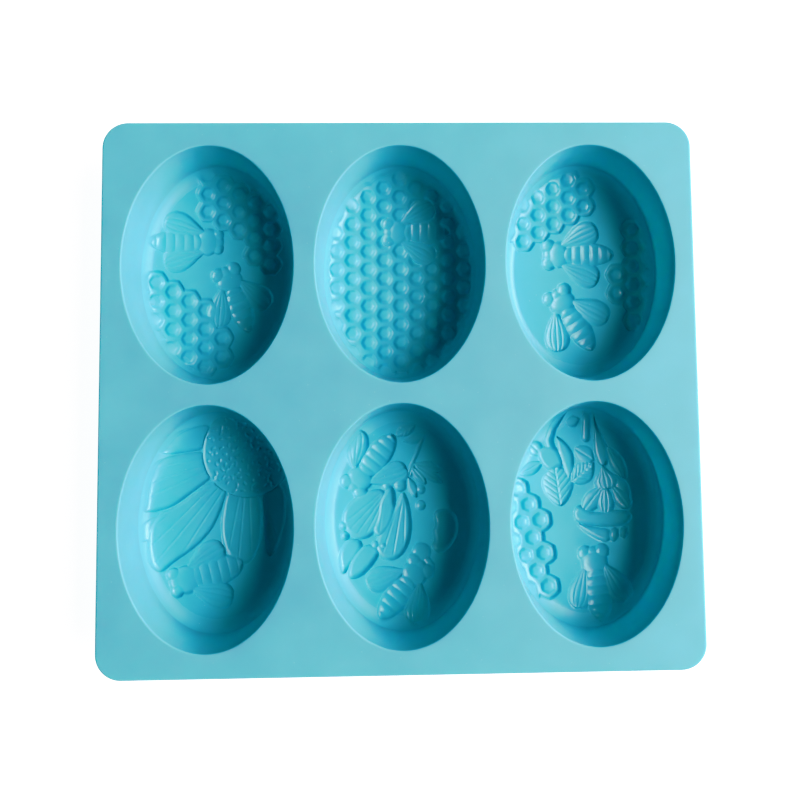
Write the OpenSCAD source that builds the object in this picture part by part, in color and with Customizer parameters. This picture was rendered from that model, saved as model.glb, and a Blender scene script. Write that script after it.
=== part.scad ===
// Oval soap mould: a silicone tray of six cavities with bee, flower and
// honeycomb reliefs in their floors. Millimetres. The origin is the middle of
// the underside, +X points right, +Y to the back and +Z up.

/* [Tray] */
// Length of the tray, left to right
tray_l = 210; // [208:0.5:225]
// Width of the tray, front to back
tray_w = 193.5; // [190:0.5:210]
// Overall height
tray_h = 25; // [24:0.5:32]
// Thickness of the flat deck
deck_t = 2.4; // [1.6:0.1:3.5]
// Corner radius of the deck
corner_r = 9; // [3:0.5:18]

/* [Cavities] */
// Width of a cavity's mouth, left to right
mouth_w = 60.3; // [58:0.1:61]
// Length of a cavity's mouth, front to back
mouth_l = 85; // [82:0.5:86]
// Distance between two columns of cavities
pitch_x = 67.8; // [67.5:0.1:69]
// Distance between the two rows of cavities
pitch_y = 92; // [91:0.5:94]
// Draft of the walls on each side, over their whole depth
draft = 1.65; // [1:0.05:2]
// Thickness of the walls
wall_t = 2.4; // [1.8:0.1:2.6]
// Thickness of the floor
floor_t = 3; // [2.8:0.1:4]
// Height of the rounded edge of the soap, from the floor to the wall's foot
edge_h = 3.5; // [2.5:0.1:4]
// Width of the rounded edge of the soap
edge_w = 4.6; // [4:0.1:7]

/* [Relief] */
// Depth of the honeycomb grooves
groove_d = 0.9; // [0.5:0.1:1.4]
// Width of the honeycomb grooves
groove_w = 1.5; // [1:0.1:2.2]
// Depth of a bee's body
bee_d = 1.7; // [1:0.1:2]
// Depth of wings, petals and leaves
petal_d = 1.1; // [0.6:0.1:1.6]
// Distance between seed knobs in the sunflower's disc
seed_gap = 2.6; // [2.2:0.1:3.5]

/* [Hidden] */
$fn = 96;
eps = 0.01;

// Levels
foot_z = floor_t + edge_h;       // where the wall meets the rounded edge
deck_z = tray_h - deck_t;        // underside of the deck
mouth_k = mouth_l / mouth_w;     // a cavity's length over its width
outer_k = (mouth_l + 2 * wall_t) / (mouth_w + 2 * wall_t);

// Half widths of the cavity, at its mouth, at the wall's foot and on the floor
mouth_a = mouth_w / 2;
foot_a = mouth_a - draft;
flat_a = foot_a - edge_w;

// Radius and sweep of the arc that joins the flat floor to the wall's foot
edge_r = (edge_w * edge_w + edge_h * edge_h) / (2 * edge_h);
edge_sweep = asin(edge_w / edge_r);
edge_steps = 6;

LEFT = -1;
MIDDLE = 0;
RIGHT = 1;
BACK = 0.5;
FRONT = -0.5;

// Bees: [x, y, heading, size, spread of the wings], from the cavity's middle
bees_back_left = [[-4.6, 12.4, 0, 1, 17], [3.4, -2.6, 112, 0.95, 27]];
bees_back_middle = [[-0.8, 15.8, 180, 0.92, 30]];
bees_back_right = [[-7.4, 6.6, 180, 0.98, 24], [-6.2, -11.8, 122, 0.98, 30]];
bees_front_left = [[-12.2, -21.4, 195, 1, 30]];
bees_front_middle = [[-15.8, 14.6, 231, 0.93, 33], [4.4, -20.4, 51, 0.93, 32]];
bees_front_right = [[3.7, -17.2, 96, 0.98, 24]];

// Petals and leaves: [x, y, direction, length, width]
petals_front_left = [[-13.6, 30, 168, 18, 10], [-15.2, 14.5, 205, 22, 12],
    [-11.6, -2.4, 233, 30, 13], [8.4, -4, 267, 26, 13], [19.6, -2, 275, 20, 6]];
petals_front_middle = [[-13.6, 1.6, 235, 19, 10.4], [-6.8, 2.6, 262, 17, 4.2],
    [-2.6, -3.6, 247, 24, 10.6], [-14.6, -15.8, 222, 13, 5], [-19.2, -13.8, 252, 13, 4.4],
    [-0.8, 12.2, 0, 5.2, 5.2], [5, 22.4, 66, 15, 1.4], [9.8, 18.6, 350, 10, 4],
    [10, 15.4, 326, 12, 3.4], [3.8, 11.4, 293, 8, 3.2], [1.6, 32.4, 27, 8.6, 4.4],
    [16, -5, 275, 16, 8], [6.9, -12.7, 0, 7, 7]];
petals_front_right = [[-10.2, 32.4, 248, 12, 3], [-11.6, 21.4, 270, 9, 8.4],
    [-9.3, 11, 278, 15.4, 10.4], [-6.4, 21.8, 287, 15.4, 4.2], [-19.2, 17.7, 208, 10, 4.6],
    [1, 22.8, 148, 8.6, 5.6], [0.2, 16, 220, 11, 7.2], [13, 19.6, 299, 13, 5],
    [6.6, 28, 281, 18, 4.4], [8.6, 15, 282, 11, 8.4], [4, 6.6, 231, 11, 5],
    [8.7, 5.6, 270, 11, 5.4], [14, 7, 307, 11, 5], [7.2, -1.2, 0, 20, 4.6],
    [3.6, -6.8, 330, 12, 4], [13.2, -6.8, 80, 4.6, 4]];

// A bee of size 1, from the middle of its thorax. Abdomen and thorax: distance,
// length and width; eyes: distance ahead, distance aside and diameter; wings:
// distance of the root aside, middle from the root, length and width
abdomen = [-12.1, 19.4, 9];
thorax = [-0.2, 8.6, 10.4];
eye = [3.7, 3.3, 5.6];
wing = [3.4, 8.9, 16.6, 8.6];

// The sunflower's disc, [x, y] and radius
disc = [10.5, 25.2];
disc_r = 17;
seed_r = 0.8;
seed_count = 130;
golden_angle = 137.5;

// Seeds' distance from the middle, per square root of their number
seed_spread = seed_gap * 0.526;

// How much of the cups' rounded bottoms is levelled off
levelling = 0.1;

// Reliefs end this far inside the edge of the flat floor
relief_inset = 0.2;

// Patches of honeycomb: [x, y] of cell 0, pitch, turn, then [column, from, to]
comb_back_left_upper = [[-4.8, 24.2], 6.8, 0,
    [[0, 0, 1], [1, -1, 0], [2, -1, 1], [3, -3, 0], [4, -3, -1]]];
comb_back_left_lower = [[-17.8, -13.6], 7.1, 0,
    [[0, -1, 1], [1, -2, 0], [2, -2, -1], [3, -3, -2]]];
comb_back_middle = [[0.2, 1.6], 7, 0,
    [[-3, -3, 2], [-2, -4, 3], [-1, -5, 0], [-1, 3, 3], [0, -4, 0], [0, 4, 4],
     [1, -5, -1], [2, -4, -1], [3, -3, 0]]];
comb_back_right_upper = [[-8.6, 25.7], 6.8, 0,
    [[-2, -2, -2], [-1, -2, -1], [0, -1, 0], [1, -1, 0], [2, 0, 1]]];
comb_back_right_side = [[15.3, -1.2], 7, 0, [[0, -1, 0], [1, -2, 1]]];
comb_front_right = [[-19, -8], 7.1, 36, [[1, 0, 1], [0, -1, 1], [-1, -3, -2]]];

module rounded_rectangle(length, width, r) {
    square([length - 2 * r, width], center = true);
    square([length, width - 2 * r], center = true);
    for (x = [-1, 1], y = [-1, 1])
        translate([x * (length / 2 - r), y * (width / 2 - r)])
            circle(r = r);
}

// Place something in the frame of one cavity, at the floor's level
module at(column, row) {
    translate([column * pitch_x, row * pitch_y, floor_t]) children();
}

// Straight oval cone between two levels
module oval(z0, a0, z1, a1, k) {
    translate([0, 0, z0])
        scale([1, k, 1])
            cylinder(h = z1 - z0, r1 = a0, r2 = a1);
}

// Bowl with a flat base at z0 and a rounded edge up to a rim this half width
module rounded_bowl(z0, rim_a, k) {
    translate([0, 0, z0])
        scale([1, k, 1])
            rotate_extrude()
                polygon([[0, 0],
                    for (i = [0 : edge_steps])
                        let (t = edge_sweep * i / edge_steps)
                        [rim_a - edge_w + edge_r * sin(t), edge_r * (1 - cos(t))],
                    [0, edge_h]]);
}

// Oval this far inside the edge of the flat floor
module relief_limit(inset) {
    scale([1, mouth_k])
        circle(r = flat_a - inset);
}

// Hollow of one depth below the floor's level, outlined by its children
module hollow(depth) {
    translate([0, 0, -depth])
        linear_extrude(depth + 1)
            intersection() {
                union() children();
                relief_limit(relief_inset);
            }
}

// An ellipse in plan: middle, direction, length and width
module leaf(x, y, turn, length, width) {
    translate([x, y])
        rotate(turn)
            scale([length / 2, width / 2])
                circle(r = 1);
}

// Plan of the bees' bodies: abdomen, thorax and two eyes
module bodies(bees) {
    for (bee = bees)
        translate([bee[0], bee[1]])
            rotate(bee[2])
                scale(bee[3]) {
                    leaf(abdomen[0], 0, 0, abdomen[1], abdomen[2]);
                    leaf(thorax[0], 0, 0, thorax[1], thorax[2]);
                    for (side = [-1, 1])
                        translate([eye[0], side * eye[1]]) circle(d = eye[2]);
                }
}

// Plan of the bees' wings, each turned about its root beside the thorax
module wings(bees) {
    for (bee = bees, side = [-1, 1])
        translate([bee[0], bee[1]])
            rotate(bee[2])
                scale(bee[3])
                    translate([0, side * wing[0]])
                        rotate(side * (180 - bee[4]))
                            leaf(wing[1], 0, 0, wing[2], wing[3]);
}

// Plan of petals and leaves
module petals(list) {
    for (petal = list)
        leaf(petal[0], petal[1], petal[2], petal[3], petal[4]);
}

// Middle of a honeycomb cell, from its column and its row
function cell(comb, column, row) = [comb[1] * cos(30) * column,
    comb[1] * (row + (column % 2 == 0 ? 0 : 0.5))];

// The cells of a patch of honeycomb, each across this far between its flats
module cells(comb, across) {
    translate(comb[0])
        rotate(comb[2])
            for (strip = comb[3])
                for (row = [strip[1] : strip[2]])
                    translate(cell(comb, strip[0], row))
                        circle(d = across / cos(30), $fn = 6);
}

// Plan of the sunken field that the pads of a honeycomb stand in
module comb_field(comb) {
    cells(comb, comb[1] + groove_w);
}

// The pads of a honeycomb, level with the floor around them
module comb_pads(comb) {
    color("paleturquoise")
        translate([0, 0, -groove_d])
            linear_extrude(groove_d)
                intersection() {
                    cells(comb, comb[1] - groove_w);
                    relief_limit(relief_inset + groove_w / 2);
                }
}

// Place of one seed, by the golden angle
function seed(i) = disc
    + seed_spread * sqrt(i) * [cos(golden_angle * i), sin(golden_angle * i)];

// Whether a point lies well inside the disc and the oval of the floor
function on_disc(p) = norm(p - disc) < disc_r - seed_r
    && norm([p[0], p[1] / mouth_k]) < flat_a - seed_r;

// The wall of one cavity, from the deck down to the wall's foot
module cavity_wall(column, row) {
    color("mediumturquoise")
        translate([column * pitch_x, row * pitch_y, 0])
            difference() {
                oval(foot_z, foot_a + wall_t, deck_z, mouth_a + wall_t, outer_k);
                oval(foot_z - eps, foot_a, deck_z + eps, mouth_a, mouth_k);
            }
}

// Outside of a cup below the wall's foot, its base levelled to rest on
module cup_bottom() {
    difference() {
        rounded_bowl(-levelling, foot_a + wall_t, outer_k);
        translate([-mouth_w, -mouth_l, -edge_h])
            cube([2 * mouth_w, 2 * mouth_l, edge_h]);
    }
    translate([0, 0, edge_h - levelling])
        linear_extrude(foot_z - edge_h + levelling)
            scale([1, outer_k])
                circle(r = foot_a + wall_t);
}

// The floor of one cavity; its children are the hollows in it
module cavity_floor(column, row) {
    color("turquoise")
        translate([column * pitch_x, row * pitch_y, 0])
            difference() {
                cup_bottom();
                rounded_bowl(floor_t, foot_a, mouth_k);
                translate([0, 0, floor_t]) children();
            }
}

module deck() {
    color("skyblue")
        translate([0, 0, deck_z])
            linear_extrude(deck_t)
                difference() {
                    rounded_rectangle(tray_l, tray_w, corner_r);
                    for (column = [LEFT, MIDDLE, RIGHT], row = [BACK, FRONT])
                        translate([column * pitch_x, row * pitch_y])
                            scale([1, mouth_k])
                                circle(r = mouth_a);
                }
}

module wall_back_left() { cavity_wall(LEFT, BACK); }
module wall_back_middle() { cavity_wall(MIDDLE, BACK); }
module wall_back_right() { cavity_wall(RIGHT, BACK); }
module wall_front_left() { cavity_wall(LEFT, FRONT); }
module wall_front_middle() { cavity_wall(MIDDLE, FRONT); }
module wall_front_right() { cavity_wall(RIGHT, FRONT); }

module floor_back_left() {
    cavity_floor(LEFT, BACK) {
        hollow(groove_d) {
            comb_field(comb_back_left_upper);
            comb_field(comb_back_left_lower);
        }
        hollow(petal_d) wings(bees_back_left);
        hollow(bee_d) bodies(bees_back_left);
    }
}

module floor_back_middle() {
    cavity_floor(MIDDLE, BACK) {
        hollow(groove_d) comb_field(comb_back_middle);
        hollow(petal_d) wings(bees_back_middle);
        hollow(bee_d) bodies(bees_back_middle);
    }
}

module floor_back_right() {
    cavity_floor(RIGHT, BACK) {
        hollow(groove_d) {
            comb_field(comb_back_right_upper);
            comb_field(comb_back_right_side);
        }
        hollow(petal_d) wings(bees_back_right);
        hollow(bee_d) bodies(bees_back_right);
    }
}

module floor_front_left() {
    cavity_floor(LEFT, FRONT) {
        hollow(petal_d) {
            wings(bees_front_left);
            petals(petals_front_left);
            translate(disc) circle(r = disc_r);
        }
        hollow(bee_d) bodies(bees_front_left);
    }
}

module floor_front_middle() {
    cavity_floor(MIDDLE, FRONT) {
        hollow(petal_d) {
            wings(bees_front_middle);
            petals(petals_front_middle);
        }
        hollow(bee_d) bodies(bees_front_middle);
    }
}

module floor_front_right() {
    cavity_floor(RIGHT, FRONT) {
        hollow(groove_d) comb_field(comb_front_right);
        hollow(petal_d) {
            wings(bees_front_right);
            petals(petals_front_right);
        }
        hollow(bee_d) bodies(bees_front_right);
    }
}

module honeycomb_back_left_upper() { at(LEFT, BACK) comb_pads(comb_back_left_upper); }
module honeycomb_back_left_lower() { at(LEFT, BACK) comb_pads(comb_back_left_lower); }
module honeycomb_back_middle() { at(MIDDLE, BACK) comb_pads(comb_back_middle); }
module honeycomb_back_right_upper() { at(RIGHT, BACK) comb_pads(comb_back_right_upper); }
module honeycomb_back_right_side() { at(RIGHT, BACK) comb_pads(comb_back_right_side); }
module honeycomb_front_right() { at(RIGHT, FRONT) comb_pads(comb_front_right); }

module sunflower_seeds() {
    color("powderblue")
        at(LEFT, FRONT)
            for (i = [1 : seed_count])
                if (on_disc(seed(i)))
                    translate([seed(i)[0], seed(i)[1], -petal_d])
                        cylinder(h = petal_d, r1 = seed_r, r2 = seed_r / 2, $fn = 24);
}

deck();
wall_back_left();
wall_back_middle();
wall_back_right();
wall_front_left();
wall_front_middle();
wall_front_right();
floor_back_left();
floor_back_middle();
floor_back_right();
floor_front_left();
floor_front_middle();
floor_front_right();
honeycomb_back_left_upper();
honeycomb_back_left_lower();
honeycomb_back_middle();
honeycomb_back_right_upper();
honeycomb_back_right_side();
honeycomb_front_right();
sunflower_seeds();
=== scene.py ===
import math

import bmesh
import bpy
import numpy as np
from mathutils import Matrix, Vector
from mathutils.geometry import delaunay_2d_cdt


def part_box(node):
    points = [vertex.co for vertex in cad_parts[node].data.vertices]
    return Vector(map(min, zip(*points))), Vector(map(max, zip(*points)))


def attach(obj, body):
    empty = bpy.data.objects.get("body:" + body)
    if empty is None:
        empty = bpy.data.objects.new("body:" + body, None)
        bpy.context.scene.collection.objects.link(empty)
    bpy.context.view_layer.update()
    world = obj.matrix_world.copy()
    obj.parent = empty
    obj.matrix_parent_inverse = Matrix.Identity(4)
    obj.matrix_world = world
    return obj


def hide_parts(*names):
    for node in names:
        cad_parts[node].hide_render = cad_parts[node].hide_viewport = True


# A silicone soap mould: a tray of six oval cavities whose floors carry bees,
# flowers and honeycomb. Lengths in this script are millimetres in the CAD's
# own frame, and turn into metres where a mesh is made.

MM = 0.001
TAU = 2 * math.pi

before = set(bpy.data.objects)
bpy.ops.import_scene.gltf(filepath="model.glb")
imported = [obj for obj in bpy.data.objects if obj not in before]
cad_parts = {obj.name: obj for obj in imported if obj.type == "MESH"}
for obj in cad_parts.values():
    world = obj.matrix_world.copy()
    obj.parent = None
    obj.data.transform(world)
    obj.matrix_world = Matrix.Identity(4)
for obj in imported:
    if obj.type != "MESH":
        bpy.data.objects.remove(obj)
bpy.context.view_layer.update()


def box_mm(node):
    """Lowest and highest corner of a CAD node, in millimetres."""
    low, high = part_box(node)
    return np.array(low) / MM, np.array(high) / MM


# ---------------------------------------------------------------- sizes

deck_low, deck_high = box_mm("deck")
wall_low, wall_high = box_mm("wall_back_left")
floor_low, floor_high = box_mm("floor_back_left")

HALF_L = deck_high[0]
HALF_W = deck_high[1]
TOP_Z = deck_high[2]
DECK_Z = deck_low[2]
FOOT_Z = wall_low[2]
CORNER_R = 9.0
WALL_T = 2.4
FLOOR_T = 3.0
EDGE_W = 4.6

# Half axes of a cup's outside at its foot and under the deck, and of its inside
OUT_FOOT = (floor_high - floor_low)[:2] / 2
OUT_TOP = (wall_high - wall_low)[:2] / 2
IN_FOOT = OUT_FOOT - WALL_T
MOUTH = OUT_TOP - WALL_T
ASPECT = MOUTH[1] / MOUTH[0]
IN_FOOT[1] = IN_FOOT[0] * ASPECT
FLAT_A = IN_FOOT[0] - EDGE_W

# Radius of the arc that joins the flat floor to the wall's foot
EDGE_H = FOOT_Z - FLOOR_T
EDGE_R = (EDGE_W**2 + EDGE_H**2) / (2 * EDGE_H)

# Roundings: the cavities' rims, the deck's edges, and under the deck
RIM_R = 0.6
RIM_OUT = 0.35
LIP_R = 0.7
HEM_R = 0.4
ROOT_R = 0.8

# Flat strip beside a rounding, before the face that fills the rest
STRIP = 0.3
UNDER_STRIP = 0.1

# Points round a cup's wall, and cells along each side of a floor's grid
RING = 280
GRID = 280

# Steps of a corner's arc, a straight side, a rounding, a wall's height and a floor's edge
ARC_STEPS = 20
SIDE_STEPS = 40
ROUND_STEPS = 6
WALL_STEPS = 8
EDGE_STEPS = 8

# Spacing of the points spread over the deck's flat faces, and of their rows
SPREAD = 4.0
SPREAD_ROW = SPREAD * 0.866

CUPS = {}
for cup in ("back_left", "back_middle", "back_right", "front_left", "front_middle", "front_right"):
    cup_low, cup_high = box_mm("floor_" + cup)
    CUPS[cup] = (cup_low + cup_high)[:2] / 2


# ---------------------------------------------------------------- mesh helper

class Skin:
    """Gathers points and faces of one closed mesh."""

    def __init__(self):
        self.points = []
        self.faces = []
        self.count = 0

    def add(self, points):
        start = self.count
        self.points.append(np.asarray(points, float))
        self.count += len(points)
        return np.arange(start, self.count)

    def band(self, a, b):
        """Four-sided faces between two rings of the same number of points."""
        quads = np.stack([a, np.roll(a, -1), np.roll(b, -1), b], axis=1)
        self.faces.extend(quads.tolist())

    def halve(self, a, b):
        """Triangles between a ring and one of half as many points."""
        even = a[0::2]
        odd = a[1::2]
        after = np.roll(even, -1)
        b_after = np.roll(b, -1)
        for trio in ((even, odd, b), (odd, b_after, b), (odd, after, b_after)):
            self.faces.extend(np.stack(trio, axis=1).tolist())

    def build(self, name, sharp):
        mesh = bpy.data.meshes.new(name)
        mesh.from_pydata(np.concatenate(self.points) * MM, [], self.faces)
        work = bmesh.new()
        work.from_mesh(mesh)
        bmesh.ops.recalc_face_normals(work, faces=work.faces)
        work.to_mesh(mesh)
        work.free()
        mesh.shade_smooth()
        mesh.set_sharp_from_angle(angle=math.radians(sharp))
        piece = bpy.data.objects.new(name, mesh)
        bpy.context.scene.collection.objects.link(piece)
        return piece


def oval_ring(centre, axes, z, count):
    turn = TAU * np.arange(count) / count
    x = centre[0] + axes[0] * np.cos(turn)
    y = centre[1] + axes[1] * np.sin(turn)
    return np.stack([x, y, np.full(count, z)], axis=1)


def tray_ring(inset, z):
    """The tray's outline, moved inwards by inset."""
    radius = CORNER_R - inset
    straight = np.array([HALF_L, HALF_W]) - CORNER_R
    arcs = []
    for corner, sign in enumerate(((1, 1), (-1, 1), (-1, -1), (1, -1))):
        turn = TAU / 4 * (corner + np.linspace(0, 1, ARC_STEPS + 1))
        arcs.append(straight * sign + radius * np.stack([np.cos(turn), np.sin(turn)], axis=1))
    points = []
    for arc, after in zip(arcs, arcs[1:] + arcs[:1]):
        share = np.linspace(0, 1, SIDE_STEPS + 1)[1:-1, None]
        points += [arc, arc[-1] * (1 - share) + after[0] * share]
    points = np.concatenate(points)
    return np.column_stack([points, np.full(len(points), z)])


def fill(skin, outer, holes, z, hole_axes):
    """Flat face at z between the outer ring and the oval holes, with points spread over it."""
    loops = [outer] + holes
    ids = np.concatenate(loops)
    every = np.concatenate(skin.points)
    flat = [tuple(every[i][:2]) for i in ids]
    edges = []
    start = 0
    for loop in loops:
        n = len(loop)
        edges += [(start + i, start + (i + 1) % n) for i in range(n)]
        start += n
    inner = []
    for row, y in enumerate(np.arange(-HALF_W + SPREAD, HALF_W - SPREAD / 2, SPREAD_ROW)):
        for x in np.arange(-HALF_L + SPREAD * (1 + row % 2 / 2), HALF_L - SPREAD / 2, SPREAD):
            corner = np.maximum(np.abs((x, y)) - (HALF_L - CORNER_R, HALF_W - CORNER_R), 0)
            if np.hypot(*corner) > CORNER_R - SPREAD / 2:
                continue
            clear = hole_axes + SPREAD / 2
            gaps = [np.hypot(*((np.array((x, y)) - c) / clear)) for c in CUPS.values()]
            if min(gaps) > 1:
                inner.append((x, y, z))
    inner_ids = skin.add(inner)
    ids = np.concatenate([ids, inner_ids])
    flat += [p[:2] for p in inner]
    corners, _, triangles, sources, _, _ = delaunay_2d_cdt(
        [Vector(p) for p in flat], edges, [], 0, 1e-7)
    source = [ids[o[0]] for o in sources]
    for face in triangles:
        middle = sum((corners[i] for i in face), Vector((0, 0))) / 3
        inside = [np.hypot(*((np.array(middle) - c) / hole_axes)) < 1 for c in CUPS.values()]
        if not any(inside):
            skin.faces.append([int(source[i]) for i in face])


# ---------------------------------------------------------------- shell

def make_shell():
    """Deck and the six cups' walls, as one skin with rounded rims and edges."""
    skin = Skin()
    quarter = [TAU / 4 * i / ROUND_STEPS for i in range(ROUND_STEPS + 1)]

    # Outside of the deck, from its top round the edge to the underside
    rings = [tray_ring(LIP_R + STRIP, TOP_Z)]
    for t in quarter:
        rings.append(tray_ring(LIP_R * (1 - math.sin(t)), TOP_Z - LIP_R * (1 - math.cos(t))))
    for t in quarter:
        rings.append(tray_ring(HEM_R * (1 - math.cos(t)), DECK_Z + HEM_R * (1 - math.sin(t))))
    rings.append(tray_ring(HEM_R + STRIP, DECK_Z))
    rings = [skin.add(r) for r in rings]
    for a, b in zip(rings, rings[1:]):
        skin.band(a, b)
    deck_top, deck_under = rings[0], rings[-1]

    top_holes = []
    under_holes = []
    for centre in CUPS.values():
        wall_top = MOUTH - (RIM_R - RIM_OUT)
        rings = [oval_ring(centre, MOUTH + RIM_OUT + STRIP, TOP_Z, RING)]
        for t in quarter:
            axes = wall_top + RIM_R * (1 - math.sin(t))
            rings.append(oval_ring(centre, axes, TOP_Z - RIM_R * (1 - math.cos(t)), RING))
        for i in range(1, WALL_STEPS + 1):
            share = i / WALL_STEPS
            axes = wall_top + (IN_FOOT - wall_top) * share
            z = TOP_Z - RIM_R + (FOOT_Z - TOP_Z + RIM_R) * share
            rings.append(oval_ring(centre, axes, z, RING))
        rings.append(oval_ring(centre, OUT_FOOT, FOOT_Z, RING))
        for i in range(1, WALL_STEPS):
            share = i / WALL_STEPS
            z = FOOT_Z + (DECK_Z - ROOT_R - FOOT_Z) * share
            axes = OUT_FOOT + (OUT_TOP - OUT_FOOT) * (z - FOOT_Z) / (DECK_Z - FOOT_Z)
            rings.append(oval_ring(centre, axes, z, RING))
        for t in quarter:
            z = DECK_Z - ROOT_R * (1 - math.sin(t))
            axes = OUT_FOOT + (OUT_TOP - OUT_FOOT) * (z - FOOT_Z) / (DECK_Z - FOOT_Z)
            rings.append(oval_ring(centre, axes + ROOT_R * (1 - math.cos(t)), z, RING))
        rings.append(oval_ring(centre, OUT_TOP + ROOT_R + UNDER_STRIP, DECK_Z, RING))
        rings = [skin.add(r) for r in rings]
        for a, b in zip(rings, rings[1:]):
            skin.band(a, b)
        top_holes.append(rings[0])
        under_holes.append(rings[-1])

    fill(skin, deck_top, top_holes, TOP_Z, MOUTH + RIM_OUT + STRIP)
    fill(skin, deck_under, under_holes, DECK_Z, OUT_TOP + ROOT_R + UNDER_STRIP)
    return skin.build("tray_shell", 50)


# ---------------------------------------------------------------- reliefs

# Depth that no hollow passes, and the radii over which hollows fade out at the wall
DEEPEST = 2.7
WALL_FADE = (IN_FOOT[0] - 1.4, IN_FOOT[0] - 0.1)

# Share of a leaf's half width that veins spread over, and the half widths of the raised
# veins: along a leaf, across it, along its spine, and in a petal
VEIN_SPAN = 0.85
VEIN = 0.33
RIB = 0.3
SPINE = 0.35
RAY = 0.34

# Honeycomb: how far a pad's edge drops, the field's depth, the radii over which it fades
# out at the wall, and for cells that are CELL apart, the distances from a cell's middle
# where the drop ends, where a groove's side starts and ends, and where the field ends
PAD_DROP = 0.5
COMB_D = 1.3
COMB_FADE = (IN_FOOT[0] - 1.8, IN_FOOT[0] - 0.2)
CELL = 7
PAD_END = 2.6
GROOVE_SIDE = (1.5, 3.0)
FIELD_END = (3.6, 4.5)

# A bee of size 1, with x along its body and y across it: root x and y, length, width and
# depth of a wing; start x, length, half width, depth and segment length of the abdomen;
# x, length, width and depth of thorax and head; x, y, diameter and depth of an eye
WING = (-0.6, 3.4, 16.6, 9.8, 1.4)
ABDOMEN = (-2.4, 19.4, 4.6, 1.85, 3.5)
THORAX = (-0.2, 8.6, 10.4, 2.1)
HEAD = (3.2, 5.4, 6.0, 1.6)
EYE = (3.7, 3.3, 5.7, 1.7)

# Sunflower's disc: depth, share of its radius that has seeds, and the seeds
BED_D = 1.65
SEEDED = 0.93
SEED_COUNT = 125
SEED_HALF_L = (0.5, 1.05)
SEED_HALF_W = 0.4
SEED_HIGH = (0.45, 0.85)
SEED_BEND = 0.3
SEED_STRAY = 0.12
GOLDEN = math.radians(137.5)


def smooth(low, high, x):
    """0 below low, 1 above high, and a smooth rise between them."""
    t = np.clip((x - low) / (high - low), 0, 1)
    return t * t * (3 - 2 * t)


def dome(q, power=2.0):
    """1 in the middle, 0 at the outline where q is 1."""
    return np.sqrt(np.clip(1 - np.abs(q) ** power, 0, 1))


def turned(points, x, y, degrees):
    """Coordinates of points along and across a direction, from (x, y)."""
    c = math.cos(math.radians(degrees))
    s = math.sin(math.radians(degrees))
    dx = points[:, 0] - x
    dy = points[:, 1] - y
    return dx * c + dy * s, dy * c - dx * s


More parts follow.
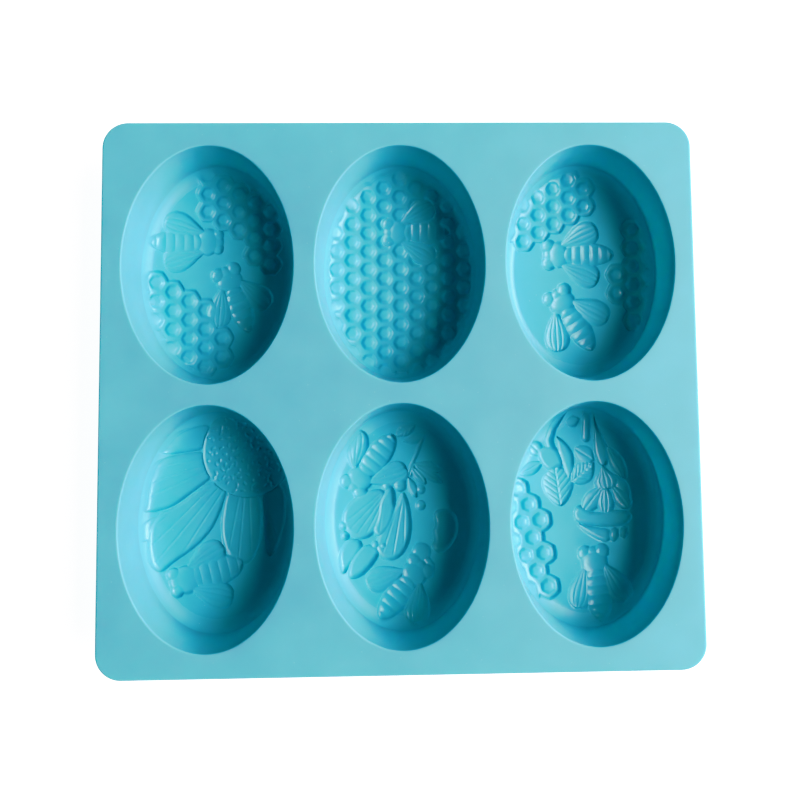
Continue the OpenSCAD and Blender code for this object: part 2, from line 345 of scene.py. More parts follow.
class Relief:
    """Depth of the relief below the floor, over the points of one cavity."""

    def __init__(self, points):
        self.points = points
        self.radius = np.hypot(points[:, 0], points[:, 1] / ASPECT)
        self.depth = np.zeros(len(points))

    def near(self, x, y, reach):
        """Which points lie within reach of (x, y)."""
        gap = np.hypot(self.points[:, 0] - x, self.points[:, 1] - y)
        return np.nonzero(gap < reach)[0]

    def sink(self, where, depth):
        self.depth[where] = np.maximum(self.depth[where], depth)

    def knob(self, x, y, r, depth):
        """Round hollow."""
        where = self.near(x, y, r)
        gap = np.hypot(self.points[where, 0] - x, self.points[where, 1] - y)
        self.sink(where, depth * dome(gap / r))

    def blob(self, x, y, turn, length, width, depth, level=0.0):
        """Oval hollow: a dome, set deeper by level behind a short wall."""
        where = self.near(x, y, max(length, width) / 2)
        u, v = turned(self.points[where], x, y, turn)
        q = np.hypot(u / (length / 2), v / (width / 2))
        inside = q < 1
        wall = smooth(0, 0.12, 1 - q) * level
        self.sink(where[inside], (wall + depth * dome(q))[inside])

    def leaf(self, x0, y0, x1, y1, width, depth=1.1, belly=0.5, bend=0.0, base=0.9, tip=0.6,
             veins=0, side_veins=0.0, level=0.0, vein_h=0.28):
        """Petal, wing or leaf from its base (x0, y0) to its tip (x1, y1)."""
        length = math.hypot(x1 - x0, y1 - y0)
        heading = math.degrees(math.atan2(y1 - y0, x1 - x0))
        where = self.near((x0 + x1) / 2, (y0 + y1) / 2, length / 2 + width)
        u, v = turned(self.points[where], x0, y0, heading)
        t = np.clip(u / length, 1e-4, 1 - 1e-4)
        v = v - bend * 4 * t * (1 - t)
        hump = np.sin(math.pi * t ** (math.log(0.5) / math.log(belly)))
        half = width / 2 * hump ** np.where(t < belly, base, tip)
        q = np.where((u > 0) & (u < length), np.abs(v) / np.maximum(half, 1e-3), 9)
        inside = q < 1
        sunk = level * smooth(0, 0.15, 1 - q) + depth * dome(q, 3)
        across = v / np.maximum(half, 1e-3)
        for k in range(veins):
            line = (k + 1) / (veins + 1) * (2 * VEIN_SPAN) - VEIN_SPAN
            gap = (across - line) * half
            sunk = sunk - vein_h * np.exp(-((gap / VEIN) ** 2)) * smooth(0, 0.25, 1 - q)
        if side_veins:
            phase = (u + 0.9 * np.abs(v)) / side_veins
            ridge = np.exp(-(((phase % 1 - 0.5) * side_veins / RIB) ** 2))
            spine = np.exp(-((v / SPINE) ** 2))
            sunk = sunk - vein_h * np.maximum(ridge * smooth(0, 0.3, 1 - q), spine)
        self.sink(where[inside], np.maximum(sunk[inside], 0))

    def stroke(self, path, width, depth):
        """Rounded groove along a line of points."""
        for (x0, y0), (x1, y1) in zip(path, path[1:]):
            reach = math.hypot(x1 - x0, y1 - y0) / 2 + width
            where = self.near((x0 + x1) / 2, (y0 + y1) / 2, reach)
            run = np.array([x1 - x0, y1 - y0])
            rel = self.points[where] - (x0, y0)
            t = np.clip(rel @ run / (run @ run), 0, 1)
            gap = np.linalg.norm(rel - t[:, None] * run, axis=1)
            inside = gap < width / 2
            self.sink(where[inside], depth * dome(gap[inside] / (width / 2)))

    def comb(self, origin, pitch, turn, strips):
        """Patch of honeycomb: domed pads between grooves, in strips of cells."""
        points = self.points
        metric = np.full(len(points), 99.0)
        for column, low, high in strips:
            for row in range(low, high + 1):
                x = pitch * math.cos(math.pi / 6) * column
                y = pitch * (row + column % 2 / 2)
                c = math.cos(math.radians(turn))
                s = math.sin(math.radians(turn))
                cx = origin[0] + x * c - y * s
                cy = origin[1] + x * s + y * c
                gap = np.hypot(points[:, 0] - cx, points[:, 1] - cy)
                where = np.nonzero(gap < pitch)[0]
                u, v = turned(points[where], cx, cy, turn)
                flats = np.maximum(np.abs(v), np.abs(v) / 2 + np.abs(u) * math.cos(math.pi / 6))
                # Halfway from a hexagon's distance to a circle's, for soft corners
                mixed = 0.5 * flats + 0.5 * gap[where] * 0.95
                metric[where] = np.minimum(metric[where], mixed)
        m = metric / (pitch / CELL)
        depth = PAD_DROP * (m / PAD_END).clip(0, 1) ** 2
        depth = depth + (COMB_D - PAD_DROP) * smooth(*GROOVE_SIDE, m)
        fade = 1 - smooth(*COMB_FADE, self.radius)
        self.sink(slice(None), depth * fade * (1 - smooth(*FIELD_END, m)))

    def bee(self, x, y, heading, size, spreads, girth=1.0, eyes=1.0, level=0.0):
        """Bee seen from above: veined wings, banded abdomen, thorax, head and eyes."""
        c = math.cos(math.radians(heading))
        s = math.sin(math.radians(heading))

        def spot(u, v):
            return x + size * (u * c - v * s), y + size * (u * s + v * c)

        along, across, long, wide, deep = WING
        for side, spread in zip((-1, 1), spreads):
            out = math.radians(side * (180 - spread))
            root = spot(along, across * side)
            end = spot(along + long * math.cos(out), across * side + long * math.sin(out))
            self.leaf(*root, *end, wide * size, depth=deep, belly=0.68, base=0.55, tip=0.36,
                      veins=3, vein_h=0.2, level=level)

        # Abdomen, hollowed segment by segment
        start, long, wide, deep, segment_l = ABDOMEN
        cx, cy = spot(start - long / 2, 0)
        where = self.near(cx, cy, (long / 2 + 1.5) * size)
        u, v = turned(self.points[where], x, y, heading)
        u = u / size
        v = v / size
        t = np.clip((start - u) / long, 1e-4, 1 - 1e-4)
        half = wide * girth * np.sin(math.pi * t ** 0.92) ** np.where(t < 0.5, 0.3, 0.45)
        q = np.where((t > 2e-4) & (t < 1 - 2e-4), np.abs(v) / np.maximum(half, 1e-3), 9)
        segment = np.abs(np.sin(math.pi * (t * long + 0.3) / segment_l)) ** 0.7
        inside = q < 1
        belly = deep * dome(q) * (0.68 + 0.32 * segment)
        self.sink(where[inside], (belly + level * smooth(0, 0.15, 1 - q))[inside])

        along, long, wide, deep = THORAX
        self.blob(*spot(along, 0), heading, long * size * girth, wide * size, deep, level)
        along, long, wide, deep = HEAD
        self.blob(*spot(along, 0), heading, long * size, wide * size, deep, level)
        along, across, wide, deep = EYE
        for side in (-1, 1):
            eye = wide * size * eyes
            self.blob(*spot(along, across * eyes * side), heading, eye, eye, deep, level)

    def petal(self, outline, depth, middle=(0, 0), rays=(), round_r=1.7, vein_h=0.22):
        """Hollow inside a smoothed outline, with veins along rays from a middle."""
        loop = np.array(outline, float)
        for _ in range(2):
            after = np.roll(loop, -1, axis=0)
            loop = np.stack([0.75 * loop + 0.25 * after, 0.25 * loop + 0.75 * after], axis=1)
            loop = loop.reshape(-1, 2)
        centre = (loop.min(axis=0) + loop.max(axis=0)) / 2
        where = self.near(*centre, np.hypot(*(loop - centre).T).max())
        points = self.points[where]
        edge = np.full(len(where), 99.0)
        odd = np.zeros(len(where), bool)
        for start, end in zip(loop, np.roll(loop, -1, axis=0)):
            run = end - start
            rel = points - start
            t = np.clip(rel @ run / (run @ run), 0, 1)
            edge = np.minimum(edge, np.linalg.norm(rel - t[:, None] * run, axis=1))
            crosses = (start[1] > points[:, 1]) != (end[1] > points[:, 1])
            slope = run[0] / (run[1] if run[1] else 1)
            odd ^= crosses & (points[:, 0] < start[0] + slope * (points[:, 1] - start[1]))
        sunk = depth * dome(1 - np.minimum(edge / round_r, 1))
        for ray in rays:
            gap = turned(points, *middle, ray)[1]
            sunk = sunk - vein_h * np.exp(-((gap / RAY) ** 2)) * smooth(0.6, 3, edge)
        self.sink(where[odd], np.maximum(sunk, 0)[odd])

    def seeds(self, x, y, r, rng):
        """Sunflower's disc with its seeds standing up in it."""
        where = self.near(x, y, r)
        gap = np.hypot(self.points[where, 0] - x, self.points[where, 1] - y)
        bed = BED_D * dome(gap / r, 14)
        for i in range(SEED_COUNT):
            out = SEEDED * r * math.sqrt((i + 0.5) / SEED_COUNT)
            turn = i * GOLDEN + rng.uniform(-SEED_STRAY, SEED_STRAY)
            sx = x + out * math.cos(turn)
            sy = y + out * math.sin(turn)
            u, v = turned(self.points[where], sx, sy, rng.uniform(0, 180))
            long = rng.uniform(*SEED_HALF_L)
            v = v - rng.uniform(-SEED_BEND, SEED_BEND) * u**2
            ridge = np.exp(-((u / long) ** 4 + (v / SEED_HALF_W) ** 2))
            bed = bed - rng.uniform(*SEED_HIGH) * ridge
        self.depth[where] = np.where(gap < r - 0.1, np.maximum(bed, 0.05), self.depth[where])


def back_left(relief):
    relief.comb((-4.8, 24.2), 6.8, 0,
                [[0, 0, 2], [1, -1, 1], [2, -1, 1], [3, -3, 0], [4, -3, 0]])
    relief.comb((-17.8, -13.6), 7.1, 0,
                [[-1, -1, 1], [0, -2, 1], [1, -3, 0], [2, -3, 0], [3, -3, -2]])
    relief.bee(-4.6, 12.4, 0, 1, (17, 17), eyes=0.78)
    relief.bee(3.4, -2.6, 112, 0.95, (27, 27))


def back_middle(relief):
    relief.comb((0.2, 1.6), 7, 0,
                [[-4, -3, 3], [-3, -5, 4], [-2, -5, 5], [-1, -6, 5], [0, -5, 5],
                 [1, -6, 5], [2, -5, 5], [3, -5, 4], [4, -3, 3]])
    relief.bee(-0.8, 15.8, 180, 0.92, (30, 30), level=0.4)


def back_right(relief):
    relief.comb((-8.6, 25.7), 6.8, 0,
                [[-3, -2, -1], [-2, -2, 1], [-1, -2, 1], [0, -1, 2], [1, -1, 1], [2, 0, 1]])
    relief.comb((15.3, -1.2), 7, 0, [[0, -1, 0], [1, -3, 2], [2, -3, 4]])
    relief.bee(-7.4, 6.6, 180, 0.98, (24, 24))
    relief.bee(-6.2, -11.8, 122, 0.98, (30, 30))


def front_left(relief):
    relief.leaf(-22, 2, -28, -7, 6, depth=0.7)
    heart = (10.5, 25.2)
    relief.petal([(-4.5, 36), (-12.5, 33.8), (-18.2, 31.6), (-22.6, 29), (-23.6, 26.4),
                  (-20.2, 24.4), (-13.6, 25.2), (-5, 26.4), (-2, 32)], 1.3, heart, (176,))
    relief.petal([(-5, 25.8), (-13.6, 24.6), (-20, 23.6), (-24.2, 21), (-26.2, 14.8),
                  (-26.8, 7), (-27.8, 3), (-21.2, 4), (-16.3, 5.8), (-10.8, 9.8), (-3, 15.5),
                  (0, 20)], 1.35, heart, (189, 197, 204))
    relief.petal([(-3.2, 14.6), (-10.6, 9.2), (-16, 5.3), (-22.6, 2.6), (-25.6, -2.7),
                  (-26.2, -9.1), (-25, -16), (-21.4, -19.2), (-16.6, -15), (-9, -10),
                  (-3, -4), (0.6, 3), (2.6, 9.6), (4, 14)], 1.35, heart,
                 (218, 224, 230, 237))
    relief.petal([(3, 12), (1.2, 3.4), (0.6, -4), (2.4, -12), (7.4, -16.5), (12.4, -15),
                  (15.6, -8), (16, 0), (15.4, 9), (10, 13)], 1.35, heart, (259, 265, 272, 278))
    relief.petal([(16, 12), (16.6, 0), (17, -8), (18.5, -14.6), (22, -10), (24.6, 0),
                  (25, 10), (22, 14)], 1.2, heart, (288,))
    relief.seeds(*heart, 17, np.random.default_rng(11))
    relief.bee(-12.2, -21.4, 195, 1, (16, 28), girth=1.2, eyes=0.9, level=0.4)


def front_middle(relief):
    relief.petal([(-6.0, 10.8), (-12, 10.6), (-18.6, 7.2), (-22.6, 2), (-21.6, -4.4),
                  (-16.8, -8), (-11.4, -6.8), (-7.6, -1.6), (-6, 4.4)], 1.6, (-4, 12),
                 (218, 226, 234, 242))
    relief.petal([(-5, 11.6), (-8.6, 6.8), (-9.2, 0.2), (-11.6, -5), (-8.2, -7.8),
                  (-4, -2.8), (-2.2, 4.2), (-2.4, 10.8)], 2.1, (-5, 20), (262,))
    relief.petal([(0.4, 10.4), (-2.6, 4.4), (-7.2, -3.2), (-10.4, -9.4), (-9, -13.8),
                  (-4.6, -16), (0.4, -13.6), (3.4, -7.4), (3.6, 0.6), (2.2, 7)], 1.7, (1.4, 14),
                 (244, 252, 260, 268))
    relief.petal([(-7.6, -11.6), (-11, -17.4), (-16.8, -22.4), (-21, -21.6), (-18.8, -13.6),
                  (-13, -8.8)], 1.8)
    relief.petal([(-15.6, -7.4), (-20.8, -7.4), (-24, -13), (-22.8, -21.6), (-19, -16.8),
                  (-14.4, -10.6)], 1.5)
    for x, y in ((-21.7, -2.6), (-18.4, -1.6), (-17.4, -5.2), (-21.2, -6.2)):
        relief.knob(x, y, 1.7, 1.6)
    for x, y in ((-10, -9.8), (-7.2, -10.2)):
        relief.knob(x, y, 1.6, 2.1)
    relief.knob(-5.6, 11.6, 1.9, 1.5)
    relief.knob(-0.8, 12.2, 2.6, 1.7)
    relief.stroke([(1.6, 14.6), (4.6, 21.6), (8.2, 30)], 1.5, 0.9)
    relief.stroke([(3.2, 15.6), (4.6, 19.8), (11, 20.4)], 1.0, 0.8)
    relief.leaf(4.9, 20, 14.8, 17.4, 4.2, depth=1.0, veins=1)
    relief.leaf(4.9, 19.6, 15.2, 12.8, 4.0, depth=1.1, veins=1)
    relief.leaf(3.6, 18.8, 9, 12.4, 3.6, depth=1.1, veins=1)
    relief.leaf(2.2, 15.2, 5.4, 7.6, 3.4, depth=1.1)
    relief.leaf(-2.6, 30.6, 5.2, 34.6, 4.6, depth=1.0, side_veins=1.7)
    relief.leaf(0.6, 28.4, 8.6, 30.2, 3.6, depth=0.8)
    relief.knob(7, 10.4, 1.7, 1.1)
    relief.knob(6.9, 4.6, 1.9, 1.2)
    relief.petal([(13.2, 3.4), (11.4, 0.6), (12.6, -2.2), (11, -5), (12.2, -8), (10.4, -10.8),
                  (13.4, -13.4), (18, -11), (21.4, -4), (19.4, 2.4)], 1.4)
    relief.knob(6.9, -12.7, 3.6, 1.4)
    relief.stroke([(8.6, -15), (10.6, -17.6), (10.4, -20.8)], 2.6, 1.0)
    relief.bee(-15.8, 14.6, 231, 0.95, (33, 33), girth=1.08, level=0.2)
    relief.bee(4.4, -20.4, 51, 0.95, (32, 32), girth=1.08, level=0.2)


def front_right(relief):
    relief.comb((-19, -8), 7.1, 36, [[1, 0, 2], [0, -1, 2], [-1, -3, 1], [-2, -2, 1]])
    relief.stroke([(-7.6, 39), (-11, 33), (-12.4, 28), (-11.4, 24)], 3.4, 1.5)
    relief.leaf(-9.4, 29.6, -4.8, 14.2, 5.2, depth=1.2, bend=1.2)
    relief.leaf(-14.8, 20, -23.6, 15.4, 4.8, depth=1.1, veins=1)
    relief.leaf(-14.6, 22.6, -20.4, 27.6, 5.6, depth=1.1, veins=1)
    relief.leaf(-10.3, 18.6, -8.3, 3.6, 11.8, depth=1.3, belly=0.42, side_veins=2.4)
    relief.petal([(-14, 26), (-10, 26), (-7.8, 22.6), (-6.6, 18.4), (-9.4, 17.6), (-12.6, 16.2),
                  (-15.8, 19.8), (-17, 24)], 1.9)
    relief.stroke([(2.1, 40.8), (1.6, 28.9)], 3.2, 1.3)
    relief.leaf(-0.6, 36, -5.8, 34.4, 4.4, depth=1.0)
    relief.leaf(4.6, 20.4, -2.6, 25, 6.4, depth=1.1, veins=1)
    relief.leaf(4.6, 19.6, -4, 12.4, 8.2, depth=1.3, side_veins=1.9)
    relief.leaf(9.8, 25.6, 16.4, 13.6, 5.6, depth=1.1, veins=1)
    relief.leaf(12.2, 15, 17.6, 5.6, 4.8, depth=1.1)
    relief.leaf(4.4, 38.6, 8.4, 18.4, 5.4, depth=1.7, belly=0.72, tip=0.4)
    relief.leaf(8.4, 11.6, 0.4, 1.8, 6.4, depth=1.4, belly=0.6, tip=0.4, veins=1)
    relief.leaf(8.6, 11.6, 8.6, 0.2, 6.6, depth=1.5, belly=0.6, tip=0.4, veins=2)
    relief.leaf(10.6, 11.6, 17.4, 2.6, 6.2, depth=1.4, belly=0.6, tip=0.4, veins=1)
    relief.leaf(7.4, 20.6, 9.6, 9.6, 9.4, depth=1.9, belly=0.75, tip=0.35, veins=3)
    relief.petal([(-1.4, 4.4), (-4, 1.4), (-3.2, -2.2), (1.4, -3.8), (9.4, -4.4), (17, -3.8),
                  (18.6, 0), (15.4, 2.4), (7.4, 1), (2.4, 1.2)], 1.9)
    relief.petal([(-3, -2.6), (-0.6, -5.4), (4.2, -8.6), (9, -10.4), (10.4, -7.6), (9.6, -5.2),
                  (4.4, -4.6)], 1.4)
    relief.blob(11.4, -7.2, 80, 5.2, 3.4, 1.7)
    relief.blob(15.2, -6.4, 80, 4.6, 3.2, 1.5)
    relief.bee(3.7, -17.2, 96, 0.98, (24, 17), girth=1.16)


RELIEFS = {
    "back_left": back_left,
    "back_middle": back_middle,
    "back_right": back_right,
    "front_left": front_left,
    "front_middle": front_middle,
    "front_right": front_right,
}


# ---------------------------------------------------------------- floors

def disc_grid(n):
    """Points of a square grid spread evenly over the unit disc."""
    side = np.linspace(-1, 1, n + 1)
    u, v = np.meshgrid(side, side)
    wide = np.abs(u) > np.abs(v)
    r = np.where(wide, u, v)
    safe = np.where(r == 0, 1, r)
    turn = np.where(wide, math.pi / 4 * v / safe, math.pi / 2 - math.pi / 4 * u / safe)
    return (r * np.cos(turn)).ravel(), (r * np.sin(turn)).ravel()


def make_floor(cup):
    """Floor of one cup: the relief above, a rounded edge and a flat foot below."""
    centre = CUPS[cup]
    skin = Skin()
    x, y = disc_grid(GRID)
    points = np.stack([x * IN_FOOT[0], y * IN_FOOT[1]], axis=1)
    relief = Relief(points)
    RELIEFS[cup](relief)
    rise = np.clip(relief.radius - FLAT_A, 0, EDGE_W)
    z = FLOOR_T + EDGE_R - np.sqrt(EDGE_R**2 - rise**2)
    depth = DEEPEST * np.tanh(relief.depth / DEEPEST)
    z = z - depth * (1 - smooth(*WALL_FADE, relief.radius))
    top = skin.add(np.column_stack([points + centre, z])).reshape(GRID + 1, GRID + 1)
    quads = np.stack([top[:-1, :-1], top[:-1, 1:], top[1:, 1:], top[1:, :-1]], axis=-1)
    skin.faces.extend(quads.reshape(-1, 4).tolist())
    rim = np.concatenate([top[0, :-1], top[:-1, -1], top[-1, :0:-1], top[:0:-1, 0]])
    turns = np.arctan2(y[rim], x[rim])

    def ring(axes, z, ids):
        around = np.stack([np.cos(turns[ids]), np.sin(turns[ids])], axis=1) * axes + centre
        return skin.add(np.column_stack([around, np.full(len(ids), z)]))

    every = np.arange(len(rim))
    last = rim
    for axes, z, step in under_profile():
        ids = every[::step]
        made = ring(axes, z, ids)
        if len(made) == len(last):
            skin.band(last, made)
        else:
            skin.halve(last, made)
        last = made
    skin.faces.append(last.tolist())
    return skin.build("floor_relief_" + cup, 60)


def under_profile():
    """Rings of a cup's outside below its foot: half axes, height, and point spacing."""
    profile = [(OUT_FOOT, FOOT_Z, 1), (OUT_FOOT, (FOOT_Z + EDGE_H) / 2, 2), (OUT_FOOT, EDGE_H, 4)]
    sweep = math.asin(EDGE_W / EDGE_R)
    for i in range(EDGE_STEPS - 1, -1, -1):
        t = sweep * i / EDGE_STEPS
        inset = EDGE_W - EDGE_R * math.sin(t)
        axes = OUT_FOOT - (inset, inset * OUT_FOOT[1] / OUT_FOOT[0])
        profile.append((axes, EDGE_R * (1 - math.cos(t)), 4))
    profile.append((OUT_FOOT * 0.5, 0, 8))
    profile.append((OUT_FOOT * 0.25, 0, 16))
    return profile


# ---------------------------------------------------------------- node helpers

def ramp(tree, value, low, high, low_out=0.0, high_out=1.0):
    """Socket that rises smoothly from low_out to high_out while value goes from low to high."""
    node = tree.nodes.new("ShaderNodeMapRange")
    node.interpolation_type = "SMOOTHSTEP"
    node.inputs["From Min"].default_value = low
    node.inputs["From Max"].default_value = high
    node.inputs["To Min"].default_value = low_out
    node.inputs["To Max"].default_value = high_out
    tree.links.new(value, node.inputs["Value"])
    return node.outputs["Result"]


def reckon(tree, operation, *terms):
    """Socket with the result of a sum; each term is a socket or a number."""
    node = tree.nodes.new("ShaderNodeMath")
    node.operation = operation
    for slot, term in zip(node.inputs, terms):
        if isinstance(term, float):
            slot.default_value = term
        else:
            tree.links.new(term, slot)
    return node.outputs[0]


# ---------------------------------------------------------------- silicone

# Base colours of the deck with its walls and of the floors, where the tint is deepest
# and palest. Deck and floors are one silicone; the floors' tint is set lighter and less red
# than the deck's, a painted lightening that matches how the lit cups look.
DECK_DEEP = (0.143, 0.43, 0.56)
DECK_PALE = (0.161, 0.477, 0.615)
CUP_DEEP = (0.13, 0.465, 0.595)
CUP_PALE = (0.147, 0.515, 0.65)
TINT_STOPS = (0.3, 0.72)
DUST = (0.45, 0.72, 0.76)
DUST_REACH = (0.035, 0.05)
DUST_SHARE = 0.35

IOR = 1.41
SPECULAR = 0.6

# Light inside the silicone: how far each colour travels, the longest way, the share of
# it in the deck, and the heights beside the wall's foot and below the deck where it fades
SCATTER = (0.25, 1.0, 0.74)
SCATTER_MM = 6.0
DECK_SCATTER = 0.4
FOOT_FADE = (0.4, 3.0)
DECK_FADE = 2

# Roughness: lowest and highest on the deck and in the cups, and what is added above the
# floor's flat, within the first heights over it
DECK_ROUGH = (0.42, 0.52)
CUP_ROUGH = (0.19, 0.29)
EDGE_ROUGHER = 0.26
EDGE_RISE = (0.05, 0.7)

# Bumps: heights in millimetres, and the strength of the slow one
SKIN_MM = 0.03
WAVE_MM = 0.6
WAVE_STRENGTH = 0.25

# Noise scales, in waves per metre: colour, dust, roughness, skin and slow unevenness
TINT_SCALE = 55
DUST_SCALE = 260
ROUGH_SCALE = 320
SKIN_SCALE = 2200
WAVE_SCALE = 70


def silicone(name, deep, pale, rough, bump, scatter):
    """Soft pale blue silicone: faint mottling, a fine skin and slight unevenness."""
    material = bpy.data.materials.new(name)
    material.use_nodes = True
    tree = material.node_tree
    nodes = tree.nodes
    links = tree.links
    shader = nodes["Principled BSDF"]
    shader.inputs["IOR"].default_value = IOR
    shader.inputs["Specular IOR Level"].default_value = SPECULAR
    shader.inputs["Subsurface Radius"].default_value = SCATTER
    shader.inputs["Subsurface Scale"].default_value = SCATTER_MM * MM
    place = nodes.new("ShaderNodeTexCoord")

    def noise(scale, detail):
        node = nodes.new("ShaderNodeTexNoise")
        node.inputs["Scale"].default_value = scale
        node.inputs["Detail"].default_value = detail
        links.new(place.outputs["Object"], node.inputs["Vector"])
        return node.outputs["Fac"]

    def bumps(strength, distance, height):
        node = nodes.new("ShaderNodeBump")
        node.inputs["Strength"].default_value = strength
        node.inputs["Distance"].default_value = distance
        links.new(height, node.inputs["Height"])
        return node

    tint = nodes.new("ShaderNodeValToRGB")
    for stop, position, colour in zip(tint.color_ramp.elements, TINT_STOPS, (deep, pale)):
        stop.position = position
        stop.color = (*colour, 1)
    links.new(noise(TINT_SCALE, 4), tint.inputs["Fac"])

    # Specks of dust that cling to silicone
    dust = nodes.new("ShaderNodeTexVoronoi")
    dust.inputs["Scale"].default_value = DUST_SCALE
    links.new(place.outputs["Object"], dust.inputs["Vector"])
    speck = nodes.new("ShaderNodeMapRange")
    speck.inputs["From Min"].default_value = DUST_REACH[0]
    speck.inputs["From Max"].default_value = DUST_REACH[1]
    speck.inputs["To Min"].default_value = DUST_SHARE
    speck.inputs["To Max"].default_value = 0.0
    links.new(dust.outputs["Distance"], speck.inputs["Value"])

    # A mix of colours has its factor at socket 0, its colours at 6 and 7, its result at 2
    mix = nodes.new("ShaderNodeMix")
    mix.data_type = "RGBA"
    mix.inputs[7].default_value = (*DUST, 1)
    links.new(speck.outputs["Result"], mix.inputs[0])
    links.new(tint.outputs["Color"], mix.inputs[6])
    links.new(mix.outputs[2], shader.inputs["Base Color"])

    # Light scatters inside, less so beside the line where walls and floors meet, and
    # in the deck, which lies flat under the light
    split = nodes.new("ShaderNodeSeparateXYZ")
    links.new(place.outputs["Object"], split.inputs["Vector"])
    height = split.outputs["Z"]
    gap = reckon(tree, "ABSOLUTE", reckon(tree, "SUBTRACT", height, float(FOOT_Z * MM)))
    inside = ramp(tree, gap, FOOT_FADE[0] * MM, FOOT_FADE[1] * MM, 0.0, scatter)
    above = ramp(tree, height, (DECK_Z - DECK_FADE) * MM, DECK_Z * MM, 1.0, DECK_SCATTER)
    links.new(reckon(tree, "MULTIPLY", inside, above), shader.inputs["Subsurface Weight"])

    # Glossy on the floor's flat and in the hollows, satin on rounded edges and above
    fine = nodes.new("ShaderNodeMapRange")
    fine.inputs["To Min"].default_value = rough[0]
    fine.inputs["To Max"].default_value = rough[1]
    links.new(noise(ROUGH_SCALE, 3), fine.inputs["Value"])
    low = (FLOOR_T + EDGE_RISE[0]) * MM
    high = (FLOOR_T + EDGE_RISE[1]) * MM
    edge = ramp(tree, height, low, high, 0.0, EDGE_ROUGHER)
    total = reckon(tree, "ADD", fine.outputs["Result"], edge)
    links.new(total, shader.inputs["Roughness"])

    skin = bumps(bump, SKIN_MM * MM, noise(SKIN_SCALE, 2))
    wave = bumps(WAVE_STRENGTH, WAVE_MM * MM, noise(WAVE_SCALE, 1))
    links.new(skin.outputs["Normal"], wave.inputs["Normal"])
    links.new(wave.outputs["Normal"], shader.inputs["Normal"])
    return material


# ---------------------------------------------------------------- pieces

shell = make_shell()
# Deck and walls stand above the floors, where the material adds EDGE_ROUGHER
satin_rough = [rough - EDGE_ROUGHER for rough in DECK_ROUGH]
satin = silicone("silicone_satin", DECK_DEEP, DECK_PALE, satin_rough, bump=0.5, scatter=1.0)
shell.data.materials.append(satin)
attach(shell, "root")
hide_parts("deck", *("wall_" + cup for cup in CUPS))

COMBS = {
    "back_left": ("honeycomb_back_left_upper", "honeycomb_back_left_lower"),
    "back_middle": ("honeycomb_back_middle",),
    "back_right": ("honeycomb_back_right_upper", "honeycomb_back_right_side"),
    "front_left": ("sunflower_seeds",),
    "front_middle": (),
    "front_right": ("honeycomb_front_right",),
}
gloss = silicone("silicone_gloss", CUP_DEEP, CUP_PALE, CUP_ROUGH, bump=0.3, scatter=0.25)
for cup in CUPS:
    piece = make_floor(cup)
    piece.data.materials.append(gloss)
    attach(piece, "root")
    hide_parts("floor_" + cup, *COMBS[cup])


# ---------------------------------------------------------------- stage

# Table top, in metres: half its side and its height, just below the tray. It glows with a
# painted glow, being no lamp, and the glow fades out over the given millimetres inwards from
# the tray's outline: no glow lights the cups' floors from below, and a painted soft shadow
# lies under the tray.
TABLE_HALF = 3.0
TABLE_Z = -0.0001
TABLE_WHITE = (0.9, 0.9, 0.9)
TABLE_ROUGH = 0.7
TABLE_PAINTED_GLOW = 0.8
PAINTED_SHADE_FADE = 30.0


def make_table():
    """Plain pale table top with a painted glow beyond the tray, fading into a painted soft shadow
    under it.
    """
    mesh = bpy.data.meshes.new("table")
    corners = [(x * TABLE_HALF, y * TABLE_HALF, TABLE_Z)
               for x, y in ((-1, -1), (1, -1), (1, 1), (-1, 1))]
    mesh.from_pydata(corners, [], [(0, 1, 2, 3)])
    sheet = bpy.data.objects.new("table", mesh)
    bpy.context.scene.collection.objects.link(sheet)
    paint = bpy.data.materials.new("table_white")
    paint.use_nodes = True
    tree = paint.node_tree
    shader = tree.nodes["Principled BSDF"]
    shader.inputs["Base Color"].default_value = (*TABLE_WHITE, 1)
    shader.inputs["Roughness"].default_value = TABLE_ROUGH
    shader.inputs["Emission Color"].default_value = (1, 1, 1, 1)
    place = tree.nodes.new("ShaderNodeTexCoord")
    split = tree.nodes.new("ShaderNodeSeparateXYZ")
    tree.links.new(place.outputs["Object"], split.inputs["Vector"])
    beyond = []
    for axis, reach in (("X", HALF_L), ("Y", HALF_W)):
        away = reckon(tree, "ABSOLUTE", split.outputs[axis])
        beyond.append(ramp(tree, away, (reach - PAINTED_SHADE_FADE) * MM, reach * MM))
    # Painted glow beyond the tray, fading to painted shade under it
    painted_glow = reckon(tree, "MULTIPLY", reckon(tree, "MAXIMUM", *beyond), TABLE_PAINTED_GLOW)
    tree.links.new(painted_glow, shader.inputs["Emission Strength"])
    mesh.materials.append(paint)
    return sheet


table = make_table()

# A window to the right, and faint light from all round; places and sides in metres
WINDOW_AT = (1.3, 0.0, 1.1)
WINDOW_FACES = (0, 0, 0.3)
WINDOW_SIDE = 1.4
WINDOW_POWER = 41
SKY = (0.95, 0.98, 1)
SKY_STRENGTH = 0.04


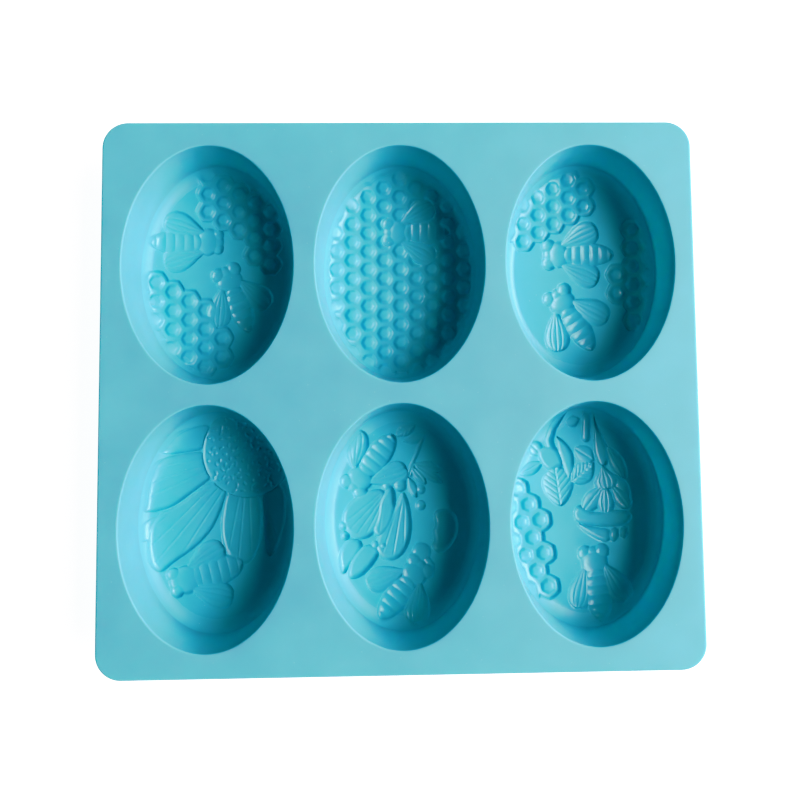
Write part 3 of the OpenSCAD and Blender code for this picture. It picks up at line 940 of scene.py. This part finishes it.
def make_window():
    """Large soft square light."""
    data = bpy.data.lights.new("window", "AREA")
    data.shape = "RECTANGLE"
    data.size = WINDOW_SIDE
    data.size_y = WINDOW_SIDE
    data.energy = WINDOW_POWER
    lamp = bpy.data.objects.new("window", data)
    bpy.context.scene.collection.objects.link(lamp)
    lamp.location = WINDOW_AT
    aim = Vector(WINDOW_FACES) - Vector(WINDOW_AT)
    lamp.rotation_euler = aim.to_track_quat("-Z", "Y").to_euler()


def make_sky():
    """Faint even light from the world."""
    world = bpy.data.worlds.new("studio")
    world.use_nodes = True
    background = world.node_tree.nodes["Background"]
    background.inputs["Color"].default_value = (*SKY, 1)
    background.inputs["Strength"].default_value = SKY_STRENGTH
    bpy.context.scene.world = world


make_window()
make_sky()

# Stops of the camera's response, light in the scene against light on the
# picture: for all channels, and then for red alone, which the camera drops in the shade
RESPONSE = ((0.05, 0.075), (0.15, 0.215), (0.25, 0.39), (0.35, 0.55), (0.5, 0.68), (0.8, 0.95))
RED_RESPONSE = ((0.03, 0.003), (0.06, 0.015), (0.1, 0.085), (0.15, 0.15), (0.25, 0.215),
                (0.6, 0.58))
# A curve mapping's curves are red, green, blue and all channels
ALL_CURVE = 3
RED_CURVE = 0


def camera_response():
    """A small camera's punchy response: lifted middle, soft shoulder, less red in the shade."""
    view = bpy.context.scene.view_settings
    view.view_transform = "Standard"
    view.use_curve_mapping = True
    mapping = view.curve_mapping
    for curve, stops in ((ALL_CURVE, RESPONSE), (RED_CURVE, RED_RESPONSE)):
        points = mapping.curves[curve].points
        points[0].location = (0, 0)
        points[1].location = (1, 1)
        for scene_light, picture_light in stops:
            points.new(scene_light, picture_light)
    mapping.update()


camera_response()

# The photograph's camera: focal length, sensor and shift as in Blender's lens, then its
# place in metres and its turn in degrees, above the tray and a little askew
LENS_MM = 37.68
SENSOR_MM = 36
SHIFT = (-0.0236, -0.0542)
CAMERA_AT = (-0.0018, -0.00751, 0.31791)
CAMERA_TURN = (3.945, -1.531, -0.635)
NEAR = 0.01

lens = bpy.data.cameras.new("camera")
lens.lens = LENS_MM
lens.sensor_width = SENSOR_MM
lens.shift_x = SHIFT[0]
lens.shift_y = SHIFT[1]
lens.clip_start = NEAR
camera = bpy.data.objects.new("camera", lens)
camera.location = CAMERA_AT
camera.rotation_euler = [math.radians(a) for a in CAMERA_TURN]
bpy.context.scene.collection.objects.link(camera)
bpy.context.scene.camera = camera
